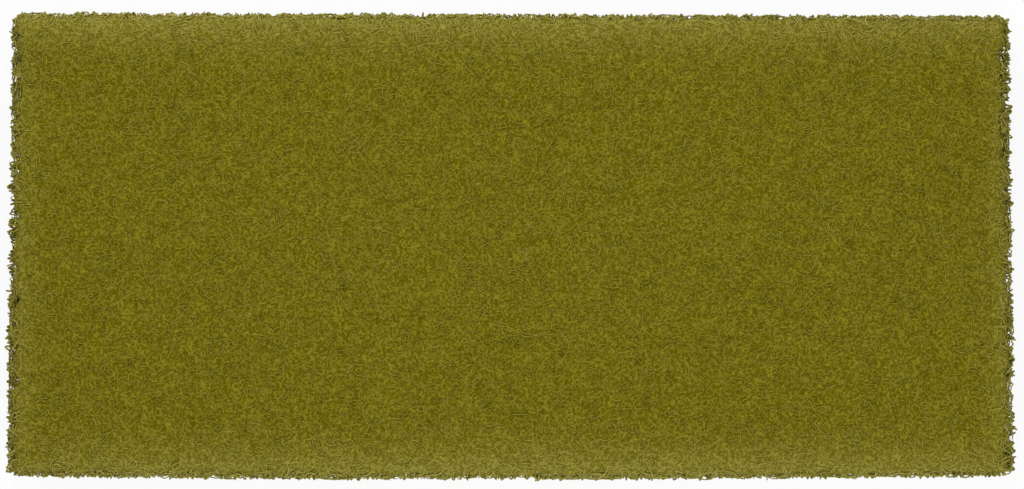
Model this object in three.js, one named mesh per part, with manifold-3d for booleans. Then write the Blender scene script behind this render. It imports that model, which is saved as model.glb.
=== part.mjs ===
// Nylon scouring pad: one thick, springy slab cut from a web of crimped nylon fibres.
// Millimetres, +Z up. The pad lies flat, with its length along X and its width along Y, and the origin is
// the middle of its underside. The far side is the one at +Y.
import * as THREE from "three";
import { ImprovedNoise } from "three/addons/math/ImprovedNoise.js";
import { mergeVertices } from "three/addons/utils/BufferGeometryUtils.js";
import Module from "manifold-3d";

const wasm = await Module();
wasm.setup();

// The slab
const PAD_LENGTH = 254;
const PAD_WIDTH = 117.5;
const PAD_THICKNESS = 19;
const CORNER_RADIUS = 2.5; // of the four upright corners
const SHOULDER_RADIUS = 3; // round the rim of the upper face
const FOOT_RADIUS = 1; // round the rim of the underside
const CELL_SIZE = 3.5; // of the mesh over the slab

// The cut is a little out of square
const LEFT_END_LEAN = 1.5; // how far in the left end's far corner lies
const RIGHT_END_LEAN = 1.4; // how far in the right end's far corner lies
const FAR_SIDE_LEAN = 0.8; // how far in the far side's right corner lies
const NEAR_SIDE_BOW = 0.9; // how far in the near side's corners lie from its middle

// The web is open and uneven, so its upper face is lumpy and its walls are ragged
const LUMP_HEIGHT = 1.7;
const LUMP_SPAN = 4.4;
const SWELL_HEIGHT = 0.8;
const SWELL_SPAN = 19;
const WALL_LUMP_DEPTH = 1.7;
const WALL_LUMP_SPAN = 4.4;

const noise = new ImprovedNoise();
const { clamp, lerp } = THREE.MathUtils;

// Thickness of the web over a point of the plan: the slab's, with fine lumps and a slow swell.
function webThickness(x, y) {
  const lump = LUMP_HEIGHT * noise.noise(x / LUMP_SPAN, y / LUMP_SPAN, 0);
  const swell = SWELL_HEIGHT * noise.noise(x / SWELL_SPAN, y / SWELL_SPAN, 0);
  return PAD_THICKNESS + lump + swell;
}

// The wall in section, from under the rim of the underside to the rim of the upper face. The first number of
// each point is how far inside the outline it lies, and the second is its height.
function wallSection() {
  const shoulderHeight = PAD_THICKNESS - SHOULDER_RADIUS;
  const rows = Math.round((shoulderHeight - FOOT_RADIUS) / CELL_SIZE);
  const section = new THREE.Path();
  section.moveTo(2 * FOOT_RADIUS, -FOOT_RADIUS);
  for (let row = 0; row <= rows; row++) section.lineTo(0, lerp(FOOT_RADIUS, shoulderHeight, row / rows));
  section.absarc(SHOULDER_RADIUS, shoulderHeight, SHOULDER_RADIUS, Math.PI, Math.PI / 2, true);
  return section.getPoints(1);
}

// Places of the mesh lines across a side: even cells, and one more at each end for the corner's round.
function meshLines(side) {
  const straight = side / 2 - CORNER_RADIUS;
  const cells = Math.round((2 * straight) / CELL_SIZE);
  const lines = [-side / 2];
  for (let i = 0; i <= cells; i++) lines.push(lerp(-straight, straight, i / cells));
  lines.push(side / 2);
  return lines;
}

// Moves a point that lies outside the round of its corner onto that round.
function roundCorner(point) {
  const alongReach = PAD_LENGTH / 2 - CORNER_RADIUS;
  const acrossReach = PAD_WIDTH / 2 - CORNER_RADIUS;
  const centre = new THREE.Vector2(
    clamp(point.x, -alongReach, alongReach),
    clamp(point.y, -acrossReach, acrossReach),
  );
  point.sub(centre).clampLength(0, CORNER_RADIUS).add(centre);
}

// The way out of the slab at a point of its outline, and nought inside it.
function outwardAt(x, y) {
  const end = Math.abs(x) === PAD_LENGTH / 2 ? Math.sign(x) : 0;
  const side = Math.abs(y) === PAD_WIDTH / 2 ? Math.sign(y) : 0;
  return new THREE.Vector2(end, side).normalize();
}

// Moves a point of the square-cut slab to where the uneven cut leaves it.
function cutUneven(point) {
  const right = point.x / PAD_LENGTH + 0.5;
  const far = point.y / PAD_WIDTH + 0.5;
  point.x += far * lerp(LEFT_END_LEAN, -RIGHT_END_LEAN, right);
  point.y += NEAR_SIDE_BOW * (1 - far) * (2 * right - 1) ** 2 - FAR_SIDE_LEAN * far * right;
}

// A point of the slab's skin, from its place in the full rectangle and its point of the wall's section.
function skinPoint(x, y, wall) {
  const point = new THREE.Vector2(x, y);
  roundCorner(point);
  point.x *= 1 - (2 * wall.x) / PAD_LENGTH;
  point.y *= 1 - (2 * wall.x) / PAD_WIDTH;
  const lump = noise.noise(x / WALL_LUMP_SPAN, y / WALL_LUMP_SPAN, wall.y / WALL_LUMP_SPAN);
  point.addScaledVector(outwardAt(x, y), WALL_LUMP_DEPTH * lump);
  cutUneven(point);
  return new THREE.Vector3(point.x, point.y, (wall.y / PAD_THICKNESS) * webThickness(point.x, point.y));
}

// The slab as a box cut into cells, whose points are moved onto the pad's skin. It reaches a little below
// the surface that the pad rests on.
function slabGeometry() {
  const alongLines = meshLines(PAD_LENGTH);
  const acrossLines = meshLines(PAD_WIDTH);
  const section = wallSection();
  const cells = [alongLines.length - 1, acrossLines.length - 1, section.length - 1];
  const box = new THREE.BoxGeometry(...cells, ...cells);
  const firstCorner = new THREE.Vector3(...cells).divideScalar(2);
  const line = new THREE.Vector3();
  const points = box.getAttribute("position");
  for (let i = 0; i < points.count; i++) {
    line.fromBufferAttribute(points, i).add(firstCorner).round();
    const skin = skinPoint(alongLines[line.x], acrossLines[line.y], section[line.z]);
    points.setXYZ(i, skin.x, skin.y, skin.z);
  }
  return box;
}

// All the space above the surface that the pad rests on, with room to spare round the pad.
function spaceAboveRest() {
  const height = 2 * PAD_THICKNESS;
  return new THREE.BoxGeometry(2 * PAD_LENGTH, 2 * PAD_WIDTH, height).translate(0, 0, height / 2);
}

function solidOf(geometry) {
  geometry.deleteAttribute("normal");
  geometry.deleteAttribute("uv");
  const merged = mergeVertices(geometry);
  return new wasm.Manifold(
    new wasm.Mesh({
      numProp: 3,
      vertProperties: merged.getAttribute("position").array,
      triVerts: new Uint32Array(merged.index.array),
    }),
  );
}

function geometryOf(solid) {
  const { vertProperties, triVerts } = solid.getMesh();
  const geometry = new THREE.BufferGeometry();
  geometry.setAttribute("position", new THREE.BufferAttribute(vertProperties, 3));
  geometry.setIndex(new THREE.BufferAttribute(triVerts, 1));
  return geometry;
}

// Slides the pad along the surface that it rests on, until the middle of its box is at the origin.
function centre(geometry) {
  geometry.computeBoundingBox();
  const middle = geometry.boundingBox.getCenter(new THREE.Vector3());
  geometry.translate(-middle.x, -middle.y, 0);
}

const nylonWeb = new THREE.MeshStandardMaterial({ color: 0x6e6617, roughness: 0.9, metalness: 0 });

function scouringPad() {
  const cutFlat = solidOf(slabGeometry()).intersect(solidOf(spaceAboveRest()));
  const geometry = geometryOf(cutFlat);
  centre(geometry);
  geometry.computeVertexNormals();
  const pad = new THREE.Mesh(geometry, nylonWeb);
  pad.name = "scouring_pad";
  return pad;
}

const root = new THREE.Group();
root.add(scouringPad());

export default root;
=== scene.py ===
"""Nylon scouring pad: an open web of crimped fibres round a dense core, on a pale floor. Metres, +Z up.

The far side of the pad is the one at +Y, which is at the top of the camera's picture.
"""

import math

import bpy
import numpy as np
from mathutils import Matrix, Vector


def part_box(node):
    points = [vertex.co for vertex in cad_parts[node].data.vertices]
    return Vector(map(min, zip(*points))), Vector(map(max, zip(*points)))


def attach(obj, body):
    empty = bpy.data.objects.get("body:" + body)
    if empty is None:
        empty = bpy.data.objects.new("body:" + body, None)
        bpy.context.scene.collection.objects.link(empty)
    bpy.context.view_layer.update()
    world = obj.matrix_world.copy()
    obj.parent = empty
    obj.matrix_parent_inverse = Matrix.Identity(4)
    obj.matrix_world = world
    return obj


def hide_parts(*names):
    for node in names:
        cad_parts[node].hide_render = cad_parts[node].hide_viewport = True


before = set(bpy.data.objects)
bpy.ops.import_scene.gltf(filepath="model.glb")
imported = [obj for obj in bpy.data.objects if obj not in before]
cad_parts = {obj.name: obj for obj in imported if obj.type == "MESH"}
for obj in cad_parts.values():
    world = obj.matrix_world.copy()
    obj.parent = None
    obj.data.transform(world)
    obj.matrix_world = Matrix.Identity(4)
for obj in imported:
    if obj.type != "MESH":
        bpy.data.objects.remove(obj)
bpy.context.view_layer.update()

MM = 0.001
TINY = 1e-9  # stands in for a length of nought, which nothing can be divided by

# The pad's body, from the box of its solid
PAD_LOW, PAD_HIGH = [np.array(corner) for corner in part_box("scouring_pad")]
RAGGED_SIDES = 0.8 * MM  # how far the solid's ragged sides reach past the body
HIGHEST_LUMP = 1.2 * MM  # how far the solid's highest lump stands above the body
HALF_LENGTH = (PAD_HIGH[0] - PAD_LOW[0]) / 2
HALF_WIDTH = (PAD_HIGH[1] - PAD_LOW[1]) / 2 - RAGGED_SIDES
THICKNESS = PAD_HIGH[2] - PAD_LOW[2] - HIGHEST_LUMP
CORNER_RADIUS = 2.5 * MM
ROUND_POINTS = 9  # along the round of each corner

# The fall of the upper face towards its rim
END_SHOULDER = 2.5 * MM  # how wide it is at the two ends
SIDE_SHOULDER = 4.5 * MM  # and along the two long sides
SHOULDER_FALL = 2.6 * MM  # how deep it is at the rim

# The cut is a little out of square
LEFT_END_LEAN = 1.5 * MM  # how far in the left end's far corner lies
RIGHT_END_LEAN = 1.3 * MM  # how far in the right end's far corner lies
FAR_SIDE_LEAN = 0.8 * MM  # how far in the far side's right corner lies
NEAR_SIDE_BOW = 0.9 * MM  # how far in the near side's corners lie from its middle

# The upper face is lumpy
SWELL_HEIGHT = 0.35 * MM
SWELL_SPAN = 17 * MM
LUMP_HEIGHT = 0.2 * MM
LUMP_SPAN = 4.5 * MM

# The fibres
FIBRE_WIDTH = 0.34 * MM
FIBRE_WIDTH_SPREAD = 0.05 * MM
THINNEST = 0.7  # as a share of the common width, like the next two
THICKEST = 1.4
FIBRE_TIP = 0.45
CRIMP = 0.7 / MM  # how sharply fibres bend: one over the radius of their curls
CRIMP_KEPT = 0.8  # how much of its bend a fibre takes along to its next point
TUBE_SIDES = 3

# The fibres of the upper face
FACE_PIECES = 4
FACE_OVERHANG = 0.4 * MM  # how far they reach past the outline, at most
FACE_INSET = 0.3 * MM  # how far they end inside it, at most
FACE_SINK = 0.25 * MM  # how deep under the core's top the two ends of a short stretch lie
FACE_RISE = 0.05 * MM  # how far over the core's top its middle stands, at least
FACE_ARCH = 0.6  # power of its arch

# The layers of fibres in the cut walls and under the pad
LAYER_LENGTH = 34 * MM
WALL_DEPTH = 2.2 * MM  # how deep inside the outline the walls' layers go
WALL_OVERHANG = 0.6 * MM  # how far they reach past it, at most
WALL_INSET = 0.5 * MM  # how far they end inside it, at most
UNDERSIDE_DEPTH = 1.0 * MM  # how high the lowest layers go

# The loops and loose ends that stand out of the cut walls
LOOP_POINTS = 9
LOOSE_SHARE = 0.35  # how many of them are loose ends
LOOSE_RUN = 0.55  # how much of a whole loop a loose end runs through
NARROWEST_LOOP = 0.5 * MM
WIDEST_LOOP = 1.7 * MM
LOOP_SLANT = 0.6 * MM  # how far along the wall a loop's top is from its middle
LOOP_TILT = 0.7 * MM  # how much higher one root is than the other
LOOP_WIDTH = 1.3  # of its fibre, as a share of the common width
LOOP_ARCH = 0.8  # power of its arch
LEAST_STAND = 0.2 * MM  # how far every loop stands out
COMMON_STAND = 0.3  # what it adds to that on average, as a share of its reach
SHALLOWEST_ROOT = 1.0 * MM  # inside the outline
DEEPEST_ROOT = 2.4 * MM
LOWEST_LOOP = 0.8 * MM  # over the surface that the pad rests on

# How pale a fibre is: nought is the dark colour and one the light one
LAYER_TONES = (0.2, 0.9)
# The loops at the cut get darker tones than the layers: painted shade, for the shaded wall behind them
LOOP_TONES_WITH_PAINTED_SHADE = (-0.2, 0.8)
UNDERSIDE_TONES = (0, 1)
TONE_SPREAD = 0.25  # of the short stretches, besides how high they stand, which paints the higher ones paler as light and the lower ones darker as shade

# The core, whose skin carries the look of the fibres that lie deeper
CORE_CELL = 1.6 * MM
CORE_DEPTH = 0.2 * MM  # of its top under the upper face
CORE_INSET = 1.2 * MM  # of its walls inside the outline
CORE_CLEARANCE = 0.25 * MM  # of its flat bottom over the surface that the pad rests on
CORE_DENTS = 0.4 * MM  # in its walls
CORE_DENT_SPAN = 2.5 * MM
END_GAPS = 1.3 * MM  # how much deeper the gaps go that show between the fibres of the two ends
END_GAP_SPAN = 1.8 * MM

# Where each stream of chance numbers starts
WEB_SEED = 20260
SWELL_SEED = 1
LUMP_SEED = 2
CORE_DENT_SEED = 4
END_GAP_SEED = 7

# A fibre's cell on the flat map, a square of side 1: its sides lie beside the two triangles of its ends
SIDES_START = 0.06
SIDES_WIDTH = 0.78
SIDES_HEIGHT = 0.88
END_TRIANGLE = np.array([[0.87, 0], [0.97, 0], [0.92, 0.08]])
FIRST_END_HEIGHT = 0.02
LAST_END_HEIGHT = 0.9

# The look of the web
NOISE_MIDDLE = 0.5
BUMP_STRENGTH = 0.7
SPECULAR = 0.03  # nylon fibre this coarse is almost matt
FIBRE_GRAIN = 0.02 * MM
CORE_RELIEF = 0.15 * MM
PIT_LEVEL = 0.3  # how high the web stands in a pit, as a share of the rest, which lowers its relief and, as painted shade, darkens its colour


def waves(x, y, span, seed, count=28):
    """Smooth uneven field over the plan, about -1 to 1, whose blotches are about span wide."""
    draw = np.random.default_rng(seed)
    shortest, longest = 0.7, 1.6
    field = np.zeros_like(x)
    for _ in range(count):
        angle = draw.uniform(0, math.tau)
        pitch = 2 * span * draw.uniform(shortest, longest)
        phase = draw.uniform(0, math.tau)
        along = x * math.cos(angle) + y * math.sin(angle)
        field += np.sin(math.tau * along / pitch + phase)
    return field / math.sqrt(count)


def cut_uneven(x, y):
    """Moves points of the square-cut pad to where the uneven cut leaves them."""
    right = x / (2 * HALF_LENGTH) + 0.5
    far = y / (2 * HALF_WIDTH) + 0.5
    moved_x = x + far * (LEFT_END_LEAN * (1 - right) - RIGHT_END_LEAN * right)
    moved_y = y + NEAR_SIDE_BOW * (1 - far) * (2 * right - 1) ** 2 - FAR_SIDE_LEAN * far * right
    return moved_x, moved_y


def round_corners(x, y):
    """Pulls points outside the rounds of the four corners onto them."""
    reach_x = HALF_LENGTH - CORNER_RADIUS
    reach_y = HALF_WIDTH - CORNER_RADIUS
    centre_x = np.clip(x, -reach_x, reach_x)
    centre_y = np.clip(y, -reach_y, reach_y)
    beyond_x = x - centre_x
    beyond_y = y - centre_y
    in_corner = (beyond_x != 0) & (beyond_y != 0)
    distance = np.hypot(beyond_x, beyond_y)
    outside = in_corner & (distance > CORNER_RADIUS)
    shrink = np.where(outside, CORNER_RADIUS / np.maximum(distance, TINY), 1)
    return centre_x + beyond_x * shrink, centre_y + beyond_y * shrink


def shoulder_fall(x, y):
    """How far the upper face lies below its full height. Outside the rim it soon stops falling further."""
    most_at_side, most_at_corner = 1.25, 1.6
    end = np.clip(1 - (HALF_LENGTH - np.abs(x)) / END_SHOULDER, 0, most_at_side)
    side = np.clip(1 - (HALF_WIDTH - np.abs(y)) / SIDE_SHOULDER, 0, most_at_side)
    return SHOULDER_FALL * np.clip(np.hypot(end, side), 0, most_at_corner) ** 2


def face_height(x, y):
    """Height of the pad's upper face over points of the plan."""
    swell = SWELL_HEIGHT * waves(x, y, SWELL_SPAN, SWELL_SEED)
    lumps = LUMP_HEIGHT * waves(x, y, LUMP_SPAN, LUMP_SEED)
    return THICKNESS + swell + lumps - shoulder_fall(x, y)


def core_top(x, y):
    """Height of the core's top, out of which the fibres of the upper face rise."""
    return face_height(x, y) - CORE_DEPTH


def fold(value, low, high):
    """Turns values that run past either limit back inside it."""
    span = high - low
    run = np.mod(value - low, 2 * span)
    return low + np.where(run < span, run, 2 * span - run)


def wander(draw, count, points, step):
    """Plan runs of crimped fibres about their middles: each bends by an amount that changes slowly."""
    curl = np.empty((count, points))
    curl[:, 0] = draw.normal(0, CRIMP, count)
    for i in range(1, points):
        fresh = draw.normal(0, CRIMP, count)
        curl[:, i] = CRIMP_KEPT * curl[:, i - 1] + math.sqrt(1 - CRIMP_KEPT**2) * fresh
    heading = draw.uniform(0, math.tau, (count, 1)) + np.cumsum(curl * step, axis=1)
    run_x = np.cumsum(np.cos(heading), axis=1) * step
    run_y = np.cumsum(np.sin(heading), axis=1) * step
    return run_x - run_x.mean(axis=1, keepdims=True), run_y - run_y.mean(axis=1, keepdims=True)


def ripple(draw, count, points, step, span, height):
    """Slow rise and fall of each fibre along its run."""
    shortest, longest = 0.7, 1.5
    run = np.arange(points) * step
    pitch = span * draw.uniform(shortest, longest, (count, 1))
    phase = draw.uniform(0, math.tau, (count, 1))
    return height * np.sin(math.tau * run / pitch + phase)


def arch(along, power):
    """Rise from 0 to 1 and back while along goes from 0 to 1. The lower the power, the steeper its ends."""
    return np.sin(math.pi * along) ** power


def fibre_widths(draw, count):
    """Widths of fibres, each a little off the common one."""
    widths = draw.normal(FIBRE_WIDTH, FIBRE_WIDTH_SPREAD, count)
    return np.clip(widths, THINNEST * FIBRE_WIDTH, THICKEST * FIBRE_WIDTH)


def tube_points(paths, widths):
    """Corner points of three-sided tubes along paths, as an array (fibre, point, side, 3)."""
    ahead = np.empty_like(paths)
    ahead[:, 1:-1] = paths[:, 2:] - paths[:, :-2]
    ahead[:, 0] = paths[:, 1] - paths[:, 0]
    ahead[:, -1] = paths[:, -1] - paths[:, -2]
    ahead /= np.maximum(np.linalg.norm(ahead, axis=2, keepdims=True), TINY)
    side = np.stack([ahead[..., 1], -ahead[..., 0], np.zeros(ahead.shape[:2])], axis=2)
    side /= np.maximum(np.linalg.norm(side, axis=2, keepdims=True), TINY)
    up = np.cross(side, ahead)
    # The round through the corners of a triangle as wide as the fibre
    radius = widths[:, None, None] / math.sqrt(3) * np.ones(paths.shape[:2])[..., None]
    radius[:, [0, -1]] *= FIBRE_TIP
    corners = []
    for i in range(TUBE_SIDES):
        angle = math.pi / 2 + math.tau * i / TUBE_SIDES
        corners.append(paths + radius * (math.cos(angle) * side + math.sin(angle) * up))
    return np.stack(corners, axis=2)


def side_map(cell, length, grid):
    """Places of the tubes' side faces on the flat map, which is a grid of cells, one for each fibre."""
    across = SIDES_START + SIDES_WIDTH * np.arange(TUBE_SIDES + 1) / TUBE_SIDES
    along = SIDES_START + SIDES_HEIGHT * np.arange(length) / (length - 1)
    u = np.stack([across[:-1], across[1:], across[1:], across[:-1]], axis=1)
    v = np.stack([along[:-1], along[:-1], along[1:], along[1:]], axis=1)
    place = np.empty((len(cell), length - 1, TUBE_SIDES, 4, 2))
    place[..., 0] = cell[:, 0][:, None, None, None] + u[None, None]
    place[..., 1] = cell[:, 1][:, None, None, None] + v[None, :, None]
    return place.reshape(-1, 2) / grid


def end_map(cell, grid, height):
    """Places of one end face of each tube, at the free edge of its cell."""
    triangle = END_TRIANGLE + [0, height]
    return ((cell[:, None] + triangle[None]) / grid).reshape(-1, 2)


def new_mesh(name, points, quads, triangles):
    """Smooth mesh of quads and, after them, triangles."""
    mesh = bpy.data.meshes.new(name)
    mesh.vertices.add(len(points))
    mesh.vertices.foreach_set("co", points.ravel())
    loops = np.concatenate([quads.ravel(), triangles.ravel()])
    mesh.loops.add(len(loops))
    mesh.loops.foreach_set("vertex_index", loops.astype(np.int32))
    starts = np.concatenate([np.arange(len(quads)) * 4, quads.size + np.arange(len(triangles)) * 3])
    mesh.polygons.add(len(starts))
    mesh.polygons.foreach_set("loop_start", starts.astype(np.int32))
    mesh.update(calc_edges=True)
    mesh.shade_smooth()
    return mesh


def tube_mesh(name, bundles):
    """One mesh of many closed tubes. A bundle is (paths, widths, tones), and its paths are equally long."""
    points, sides, ends, side_maps, end_maps, tones_with_painted_light = [], [], [], [], [], []
    grid = math.ceil(math.sqrt(sum(len(bundle[0]) for bundle in bundles)))
    first_point = 0
    first_fibre = 0
    for paths, widths, fibre_tones_with_painted_light in bundles:
        count, length = paths.shape[:2]
        corners = tube_points(paths, widths)
        index = first_point + np.arange(count * length * TUBE_SIDES).reshape(count, length, TUBE_SIDES)
        following = np.roll(index, -1, axis=2)
        rings = [index[:, :-1], following[:, :-1], following[:, 1:], index[:, 1:]]
        fibre = first_fibre + np.arange(count)
        cell = np.stack([fibre % grid, fibre // grid], axis=1)
        points.append(corners.reshape(-1, 3))
        sides.append(np.stack(rings, axis=3).reshape(-1, 4))
        side_maps.append(side_map(cell, length, grid))
        ends.extend([index[:, 0, ::-1], index[:, -1]])
        end_maps.extend([end_map(cell, grid, FIRST_END_HEIGHT), end_map(cell, grid, LAST_END_HEIGHT)])
        tones_with_painted_light.append(np.repeat(fibre_tones_with_painted_light, length * TUBE_SIDES))
        first_point += index.size
        first_fibre += count
    mesh = new_mesh(name, np.concatenate(points), np.concatenate(sides), np.concatenate(ends))
    flat_map = mesh.uv_layers.new(name="OFBake")
    flat_map.uv.foreach_set("vector", np.concatenate(side_maps + end_maps).ravel().astype(np.float32))
    tone_with_painted_light = mesh.attributes.new("tone_with_painted_light", "FLOAT", "POINT")
    tone_with_painted_light.data.foreach_set("value", np.concatenate(tones_with_painted_light).astype(np.float32))
    return mesh


def solid_paths(x, y, z):
    """Paths in space from their plan and height, inside the pad's true outline."""
    return np.stack([*cut_uneven(x, y), z], axis=2)


def spread_plan(draw, count, points, step, least_inset, most_inset):
    """Plan places of fibres that wander over the whole pad, each up to its own inset from the outline."""
    run_x, run_y = wander(draw, count, points, step)
    middle_x = draw.uniform(-HALF_LENGTH, HALF_LENGTH, (count, 1))
    middle_y = draw.uniform(-HALF_WIDTH, HALF_WIDTH, (count, 1))
    inset = draw.uniform(least_inset, most_inset, (count, 1))
    x = fold(middle_x + run_x, inset - HALF_LENGTH, HALF_LENGTH - inset)
    y = fold(middle_y + run_y, inset - HALF_WIDTH, HALF_WIDTH - inset)
    return round_corners(x, y)


def face_arcs(draw, count, length, step):
    """Short stretches of crimped fibre that rise out of the upper face and sink back into it."""
    points = round(length / step) + 1
    x, y = spread_plan(draw, count, points, step, -FACE_OVERHANG, FACE_INSET)
    rise = draw.uniform(FACE_RISE, CORE_DEPTH, (count, 1))
    z = core_top(x, y) + (rise + FACE_SINK) * arch(np.linspace(0, 1, points), FACE_ARCH) - FACE_SINK
    # higher stretches get paler tones: painted light on them and painted shade on the lower ones, with a
    # random spread
    tones_with_painted_light = np.clip(rise[:, 0] / CORE_DEPTH + draw.normal(0, TONE_SPREAD, count), 0, 1)
    return solid_paths(x, y, z), fibre_widths(draw, count), tones_with_painted_light


def face_fibres(draw, count, length, step):
    """Longer fibres that dip in and out of the upper face."""
    points = round(length / step) + 1
    x, y = spread_plan(draw, count, points, step, -FACE_OVERHANG, FACE_INSET)
    lowest, highest = -0.1 * MM, 0.15 * MM
    level = draw.uniform(lowest, highest, (count, 1))
    z = core_top(x, y) + level + ripple(draw, count, points, step, span=6 * MM, height=0.35 * MM)
    return solid_paths(x, y, z), fibre_widths(draw, count), draw.uniform(*LAYER_TONES, count)


def rim_table():
    """The outline of the square-cut pad, anticlockwise: run along it, x, y and the angle of the way out."""
    x, y, angle = [], [], []
    for quarter in range(4):
        middle = math.pi / 4 + quarter * math.pi / 2
        centre_x = math.copysign(HALF_LENGTH - CORNER_RADIUS, math.cos(middle))
        centre_y = math.copysign(HALF_WIDTH - CORNER_RADIUS, math.sin(middle))
        turn = middle + np.linspace(-math.pi / 4, math.pi / 4, ROUND_POINTS)
        x.extend(centre_x + CORNER_RADIUS * np.cos(turn))
        y.extend(centre_y + CORNER_RADIUS * np.sin(turn))
        angle.extend(turn)
    x.append(x[0])
    y.append(y[0])
    angle.append(angle[0] + math.tau)
    x, y, angle = np.array(x), np.array(y), np.array(angle)
    run = np.concatenate([[0], np.cumsum(np.hypot(np.diff(x), np.diff(y)))])
    return run, x, y, angle


def from_rim(place, depth):
    """Plan places, and the way out there, from the run along the outline and the depth inside it."""
    run, rim_x, rim_y, rim_angle = rim_table()
    place = np.mod(place, run[-1])
    angle = np.interp(place, run, rim_angle)
    x = np.interp(place, run, rim_x) - depth * np.cos(angle)
    y = np.interp(place, run, rim_y) - depth * np.sin(angle)
    return x, y, angle


def rim_middles(draw, count, at_ends):
    """Chance places along the outline, at the two ends or along the long sides."""
    run, _, _, _ = rim_table()
    tries = 8 * count
    faces_end = 0.7  # a wall whose way out has this much of it along X is an end
    candidates = draw.uniform(0, run[-1], tries)
    _, _, angle = from_rim(candidates, np.zeros_like(candidates))
    fitting = (np.abs(np.cos(angle)) > faces_end) == at_ends
    return candidates[fitting][:count, None]


def wall_fibres(draw, count, step, at_ends):
    """Fibres that lie in the layers of the web just inside the cut walls, fewer towards the cut."""
    points = round(LAYER_LENGTH / step) + 1
    run_along, run_in = wander(draw, count, points, step)
    middle = rim_middles(draw, count, at_ends)
    nearest = draw.uniform(-WALL_OVERHANG, WALL_INSET, (count, 1))
    depth = fold(draw.uniform(0, WALL_DEPTH, (count, 1)) + run_in, nearest, WALL_DEPTH)
    x, y, _ = from_rim(middle + run_along, depth)
    lowest, highest = 0.02, 1.0  # as shares of the wall's height, like the rise and fall
    level = draw.uniform(lowest, highest, (count, 1))
    level = level + ripple(draw, count, points, step, span=9 * MM, height=0.025)
    under_face = 0.3 * MM
    z = np.maximum(level * (face_height(x, y) - under_face), FIBRE_WIDTH / 2)
    return solid_paths(x, y, z), fibre_widths(draw, count), draw.uniform(*LAYER_TONES, count)


def stray_loops(draw, count, reach, at_ends):
    """Short loops and loose ends that stand out of the cut walls by up to reach."""
    middle = rim_middles(draw, count, at_ends)
    run = draw.choice([LOOSE_RUN, 1.0], (count, 1), p=[LOOSE_SHARE, 1 - LOOSE_SHARE])
    along = np.linspace(0, 1, LOOP_POINTS) * run
    width = draw.uniform(NARROWEST_LOOP, WIDEST_LOOP, (count, 1)) * draw.choice([-1, 1], (count, 1))
    slant = draw.normal(0, LOOP_SLANT, (count, 1))
    stand = np.minimum(LEAST_STAND + draw.exponential(COMMON_STAND * reach, (count, 1)), reach)
    root_depth = draw.uniform(SHALLOWEST_ROOT, DEEPEST_ROOT, (count, 1))
    out = arch(along, LOOP_ARCH)
    depth = root_depth - (root_depth + stand) * out
    x, y, _ = from_rim(middle + width * (along - 0.5) + slant * out, depth)
    level = draw.uniform(LOWEST_LOOP, THICKNESS - SHOULDER_FALL, (count, 1))
    z = level + draw.normal(0, LOOP_TILT, (count, 1)) * (along - 0.5)
    widths = LOOP_WIDTH * fibre_widths(draw, count)
    return solid_paths(x, y, np.maximum(z, FIBRE_WIDTH)), widths, draw.uniform(*LOOP_TONES_WITH_PAINTED_SHADE, count)


def underside_fibres(draw, count, step):
    """Fibres along the flat underside, just above the surface that the pad rests on."""
    points = round(LAYER_LENGTH / step) + 1
    x, y = spread_plan(draw, count, points, step, least_inset=0.3 * MM, most_inset=1.2 * MM)
    height = draw.uniform(0, UNDERSIDE_DEPTH, (count, 1))
    height = height + ripple(draw, count, points, step, span=12 * MM, height=0.3 * MM)
    clearance = 0.6 * FIBRE_WIDTH
    z = clearance + np.abs(height)
    return solid_paths(x, y, z), fibre_widths(draw, count), draw.uniform(*UNDERSIDE_TONES, count)


def new_object(name, data):
    """An object of the scene that shows a mesh, a lamp or a camera."""
    thing = bpy.data.objects.new(name, data)
    bpy.context.collection.objects.link(thing)
    return thing


def pad_piece(name, mesh, material):
    """A piece of the pad, which rides on its one body."""
    mesh.materials.append(material)
    piece = new_object(name, mesh)
    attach(piece, "root")
    return piece


def fibres_object(name, bundles, material):
    """A piece of the web, made of bundles of fibres."""
    return pad_piece(name, tube_mesh(name, bundles), material)


def web_objects(material):
    """The fibres that show: over the upper face, round the cut walls and on the underside."""
    draw = np.random.default_rng(WEB_SEED)
    for i in range(FACE_PIECES):
        short = face_arcs(draw, count=1600, length=3.0 * MM, step=0.5 * MM)
        middling = face_arcs(draw, count=600, length=5.5 * MM, step=0.61 * MM)
        long = face_fibres(draw, count=120, length=10 * MM, step=0.66 * MM)
        fibres_object(f"web_face_{i + 1}", [short, middling, long], material)
    side_layers = wall_fibres(draw, count=620, step=1.2 * MM, at_ends=False)
    end_layers = wall_fibres(draw, count=110, step=1.2 * MM, at_ends=True)
    side_loops = stray_loops(draw, count=420, reach=0.6 * MM, at_ends=False)
    end_loops = stray_loops(draw, count=320, reach=1.0 * MM, at_ends=True)
    fibres_object("web_walls", [side_layers, end_layers, side_loops, end_loops], material)
    fibres_object("web_underside", [underside_fibres(draw, count=400, step=2.2 * MM)], material)


def box_lattice(cells):
    """Whole-number corner points and outward quads of a box of cells."""
    quads = []
    for axis in range(3):
        first, second = [other for other in range(3) if other != axis]
        at_first, at_second = np.meshgrid(np.arange(cells[first]), np.arange(cells[second]), indexing="ij")
        for level in (0, cells[axis]):
            quad = np.empty((at_first.size, 4, 3), dtype=int)
            for i, (step_first, step_second) in enumerate([(0, 0), (1, 0), (1, 1), (0, 1)]):
                quad[:, i, first] = at_first.ravel() + step_first
                quad[:, i, second] = at_second.ravel() + step_second
                quad[:, i, axis] = level
            outward = (level > 0) == (axis != 1)
            quads.append(quad if outward else quad[:, ::-1])
    corners, index = np.unique(np.concatenate(quads).reshape(-1, 3), axis=0, return_inverse=True)
    return corners, index.reshape(-1, 4)


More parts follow.
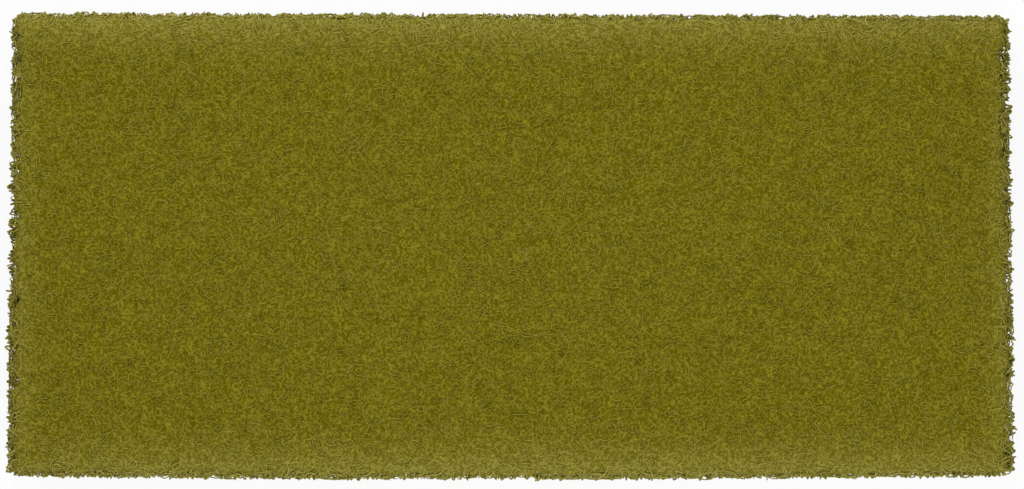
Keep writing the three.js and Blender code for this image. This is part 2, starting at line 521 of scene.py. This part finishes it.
def core_skin():
    """Points and quads of the core's skin: a box of cells with dented walls, and gaps in its two ends."""
    sizes = [2 * HALF_LENGTH, 2 * HALF_WIDTH, THICKNESS]
    cells = [round(size / CORE_CELL) for size in sizes]
    corners, quads = box_lattice(cells)
    share = corners / np.array(cells)
    x = (2 * share[:, 0] - 1) * (HALF_LENGTH - CORE_INSET)
    y = (2 * share[:, 1] - 1) * (HALF_WIDTH - CORE_INSET)
    x, y = round_corners(x, y)
    z = CORE_CLEARANCE + (core_top(x, y) - CORE_CLEARANCE) * share[:, 2]
    dents = CORE_DENTS * waves(x + z, y + 2 * z, CORE_DENT_SPAN, CORE_DENT_SEED, count=40)
    gaps = END_GAPS * np.clip(waves(x, y, END_GAP_SPAN, END_GAP_SEED), 0, 1)
    on_end = corners[:, 0] % cells[0] == 0
    on_side = corners[:, 1] % cells[1] == 0
    x = x - np.sign(x) * np.where(on_end, dents + gaps, 0)
    y = y - np.sign(y) * np.where(on_side, dents, 0)
    x, y = cut_uneven(x, y)
    return np.stack([x, y, z], axis=1), quads


def core_object(material):
    """The dense inside of the web, a little under the fibres that show."""
    points, quads = core_skin()
    mesh = bpy.data.meshes.new("pad_core")
    mesh.from_pydata(points.tolist(), [], quads.tolist())
    mesh.shade_smooth()
    core = pad_piece("pad_core", mesh, material)
    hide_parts("scouring_pad")
    return core


class Nodes:
    """Short way to add and join the nodes of one material."""

    def __init__(self, name):
        self.material = bpy.data.materials.new(name)
        self.material.use_nodes = True
        self.tree = self.material.node_tree
        self.tree.nodes.clear()

    def add(self, kind, inputs=None, **settings):
        """New node, whose inputs are values or other nodes' outputs."""
        node = self.tree.nodes.new(kind)
        for key, value in settings.items():
            setattr(node, key, value)
        for key, value in (inputs or {}).items():
            if isinstance(value, bpy.types.NodeSocket):
                self.tree.links.new(value, node.inputs[key])
            else:
                node.inputs[key].default_value = value
        return node

    def math(self, operation, *values):
        return self.add("ShaderNodeMath", dict(enumerate(values)), operation=operation).outputs[0]

    def ramp(self, value, start, end, low=0.0, high=1.0):
        """Smooth change from low to high while value goes from start to end."""
        inputs = {"Value": value, "From Min": start, "From Max": end, "To Min": low, "To Max": high}
        return self.add("ShaderNodeMapRange", inputs, interpolation_type="SMOOTHSTEP").outputs[0]

    def noise(self, place, span, detail):
        """Smooth noise about 0.5, whose blotches are about span wide."""
        inputs = {"Vector": place, "Scale": 1 / span, "Detail": detail}
        return self.add("ShaderNodeTexNoise", inputs).outputs[0]

    def mix(self, share, first, second):
        """Colour from the first to the second."""
        return self.add("ShaderNodeMix", {0: share, 6: first, 7: second}, data_type="RGBA").outputs[2]


def near_edge(nodes, coordinate, edge, reach, power, most):
    """Share that grows from nothing at reach inside an edge to most at the edge itself."""
    off_middle = nodes.math("ABSOLUTE", coordinate)
    inputs = {"Value": off_middle, "From Min": edge - reach, "From Max": edge}
    share = nodes.add("ShaderNodeMapRange", inputs).outputs[0]
    return nodes.math("MULTIPLY", nodes.math("POWER", share, power), most)


def painted_edge_light(nodes, place):
    """How much paler the pad is painted near the rim of its upper face, as painted edge light: most along
    the long sides, less at the ends.
    """
    parts = nodes.add("ShaderNodeSeparateXYZ", {0: place}).outputs
    side = near_edge(nodes, parts["Y"], edge=HALF_WIDTH, reach=22 * MM, power=3.5, most=1.0)
    end = near_edge(nodes, parts["X"], edge=HALF_LENGTH, reach=14 * MM, power=3.0, most=0.9)
    fades_out = 17 * MM  # below the upper face, down the walls
    starts_to_fade = 4 * MM
    on_face = nodes.ramp(parts["Z"], THICKNESS - fades_out, THICKNESS - starts_to_fade)
    return nodes.math("MULTIPLY", nodes.math("MAXIMUM", side, end), on_face)


def painted_pit_shade(nodes, place):
    """Where the upper layers of the web close over, 1, and where they leave a pit, 0: the pits are painted
    darker, as shade.
    """
    return nodes.ramp(nodes.noise(place, span=0.75 * MM, detail=0.0), start=0.37, end=0.5)


def thick_web(nodes, place):
    """Broad blotches, 0 to 1, where the web is thicker and so a little paler."""
    return nodes.ramp(nodes.noise(place, span=3.2 * MM, detail=1.5), start=0.3, end=0.7)


def olive_colour(nodes, place, share, dark, light, painted_edge_dark, painted_edge_pale):
    """Colour from dark to light, both of them painted paler near the rim as edge light."""
    painted_edge_share = painted_edge_light(nodes, place)
    return nodes.mix(share, nodes.mix(painted_edge_share, dark, painted_edge_dark), nodes.mix(painted_edge_share, light, painted_edge_pale))


def tangle(nodes, place, layers):
    """Height of a tangle of curly strands round small pits, 0 to 1, drawn by contour lines of noise."""
    finest, coarser = 0.75, 0.12  # span of the first layer, and how much each one adds to it, in mm
    strand_edge = 0.17
    height = 0.0
    for i in range(layers):
        shift = (0.31 * i, 0.17 * i, 0.23 * i)  # far enough for no two layers to match
        moved = nodes.add("ShaderNodeVectorMath", {0: place, 1: shift}).outputs[0]
        field = nodes.noise(moved, span=(finest + coarser * i) * MM, detail=0.3)
        off_line = nodes.math("ABSOLUTE", nodes.math("SUBTRACT", field, NOISE_MIDDLE))
        strand = nodes.ramp(off_line, start=0.0, end=strand_edge, low=1.0, high=0.0)
        height = nodes.math("MULTIPLY_ADD", strand, 1 / layers, height)
    return nodes.ramp(height, start=0.15, end=0.85)


def olive_shader(nodes, colour, height, depth, roughness):
    """Almost matt surface, with relief of the depth where the height goes from 0 to 1."""
    bump = nodes.add("ShaderNodeBump", {"Height": height, "Distance": depth, "Strength": BUMP_STRENGTH})
    inputs = {
        "Base Color": colour,
        "Roughness": roughness,
        "Normal": bump.outputs[0],
        "Specular IOR Level": SPECULAR,
    }
    shader = nodes.add("ShaderNodeBsdfPrincipled", inputs)
    nodes.add("ShaderNodeOutputMaterial", {"Surface": shader.outputs[0]})
    return nodes.material


def fibre_material():
    """Separate nylon fibres, olive brown: each has its own tone, and the web's blotches lie over them, with
    painted shade over pits and painted edge light near the rim.
    """
    nodes = Nodes("nylon_fibre")
    place = nodes.add("ShaderNodeTexCoord").outputs["Object"]
    own_tone_with_painted_light = nodes.add("ShaderNodeAttribute", attribute_name="tone_with_painted_light").outputs["Fac"]
    tone_share, thick_share, pit_shade_share = 0.4, 0.1, 0.5
    thick = nodes.math("MULTIPLY", thick_web(nodes, place), thick_share)
    share = nodes.math("MULTIPLY_ADD", own_tone_with_painted_light, tone_share, thick)
    # fibres that lie over a pit are painted darker: painted shade
    share = nodes.math("MULTIPLY_ADD", painted_pit_shade(nodes, place), pit_shade_share, share)
    colour = olive_colour(
        nodes,
        place,
        share,
        dark=(0.122, 0.104, 0.0003, 1),
        light=(0.275, 0.243, 0.028, 1),
        # the next two colours are painted edge light: the rim is painted paler where its shoulder catches
        # light
        painted_edge_dark=(0.25, 0.221, 0.02, 1),
        painted_edge_pale=(0.44, 0.396, 0.095, 1),
    )
    grain = nodes.noise(place, span=0.16 * MM, detail=2.0)
    roughness = nodes.ramp(grain, start=0.3, end=0.7, low=0.5, high=0.75)
    return olive_shader(nodes, colour, grain, FIBRE_GRAIN, roughness)


def core_material():
    """The deeper web: curly strands, painted darker in their low parts and in the pits between them, as
    shade.
    """
    nodes = Nodes("nylon_core")
    place = nodes.add("ShaderNodeTexCoord").outputs["Object"]
    pit_relief_and_shade = nodes.math("MULTIPLY_ADD", painted_pit_shade(nodes, place), 1 - PIT_LEVEL, PIT_LEVEL)
    height = nodes.math("MULTIPLY", tangle(nodes, place, layers=4), pit_relief_and_shade)
    thick_share, height_shade_share = 0.12, 0.95
    thick = thick_web(nodes, place)
    # the tangle's low parts and pits get the dark colour: painted shade in its hollows, over its bump
    # relief
    share = nodes.math("MULTIPLY_ADD", thick, thick_share, nodes.math("MULTIPLY", height, height_shade_share))
    colour = olive_colour(
        nodes,
        place,
        share,
        dark=(0.086, 0.073, 0.0002, 1),
        light=(0.214, 0.187, 0.012, 1),
        # the next two colours are painted edge light: the rim is painted paler where its shoulder catches
        # light
        painted_edge_dark=(0.15, 0.13, 0.008, 1),
        painted_edge_pale=(0.34, 0.305, 0.065, 1),
    )
    roughness = nodes.ramp(height, start=0.0, end=1.0, low=0.85, high=0.6)
    return olive_shader(nodes, colour, height, CORE_RELIEF, roughness)


def floor_object():
    """Pale floor that looks white to the camera and keeps the pad's soft shadow."""
    nodes = Nodes("pale_floor")
    path = nodes.add("ShaderNodeLightPath").outputs
    plain = nodes.add("ShaderNodeBsdfDiffuse", {"Color": (0.93, 0.93, 0.92, 1)})
    white = nodes.add("ShaderNodeEmission", {"Color": (1, 1, 1, 1), "Strength": 1.0})
    seen = nodes.math("ADD", path["Is Camera Ray"], path["Is Glossy Ray"])
    seen = nodes.math("MINIMUM", nodes.math("ADD", seen, path["Is Transmission Ray"]), 1.0)
    white_share = 0.9  # the rest of what is seen is the plain floor, with the shadow on it
    share = nodes.math("MULTIPLY", seen, white_share)
    mix = nodes.add("ShaderNodeMixShader", {0: share, 1: plain.outputs[0], 2: white.outputs[0]})
    nodes.add("ShaderNodeOutputMaterial", {"Surface": mix.outputs[0]})
    bpy.ops.mesh.primitive_plane_add(size=12, location=(0, 0, 0))
    floor = bpy.context.object
    floor.name = "floor"
    floor.data.materials.append(nodes.material)
    return floor


def area_light(name, place, size, power):
    """Soft square panel of light that faces the pad. Its size is in metres and its power in watts."""
    data = bpy.data.lights.new(name, "AREA")
    data.shape = "SQUARE"
    data.size = size
    data.energy = power
    light = new_object(name, data)
    light.location = place
    light.rotation_euler = (-light.location).to_track_quat("-Z", "Y").to_euler()
    return light


def light_scene():
    """A world that is white to the camera and plain soft light to the pad, and a lamp at each long side."""
    world = bpy.data.worlds.new("studio")
    world.use_nodes = True
    tree = world.node_tree
    background = tree.nodes["Background"]
    background.inputs["Color"].default_value = (1, 1, 1, 1)
    path = tree.nodes.new("ShaderNodeLightPath")
    strength = tree.nodes.new("ShaderNodeMapRange")
    strength.inputs["To Min"].default_value = 0.5  # on the pad
    strength.inputs["To Max"].default_value = 1.0  # to the camera
    tree.links.new(path.outputs["Is Camera Ray"], strength.inputs["Value"])
    tree.links.new(strength.outputs[0], background.inputs["Strength"])
    bpy.context.scene.world = world
    area_light("far_light", place=(-0.1, 0.42, 0.45), size=0.4, power=2.3)
    area_light("near_light", place=(0.1, -0.42, 0.45), size=0.4, power=1.85)


def camera_above():
    """Long lens straight above the pad, framed across as in the photograph, which is 1024 by 489 pixels."""
    frame_width = 259.6 * MM  # of the view in the plane of the upper face
    height = 3.0
    off_middle = 0.4 * MM  # of the picture's middle from the pad's, both along and across
    data = bpy.data.cameras.new("camera")
    data.sensor_width = 36
    data.sensor_fit = "HORIZONTAL"
    data.lens = data.sensor_width * (height - THICKNESS) / frame_width
    camera = new_object("camera", data)
    camera.location = (off_middle, off_middle, height)
    bpy.context.scene.camera = camera


core_object(core_material())
web_objects(fibre_material())
floor_object()
light_scene()
camera_above()
bpy.context.scene.view_settings.view_transform = "Standard"
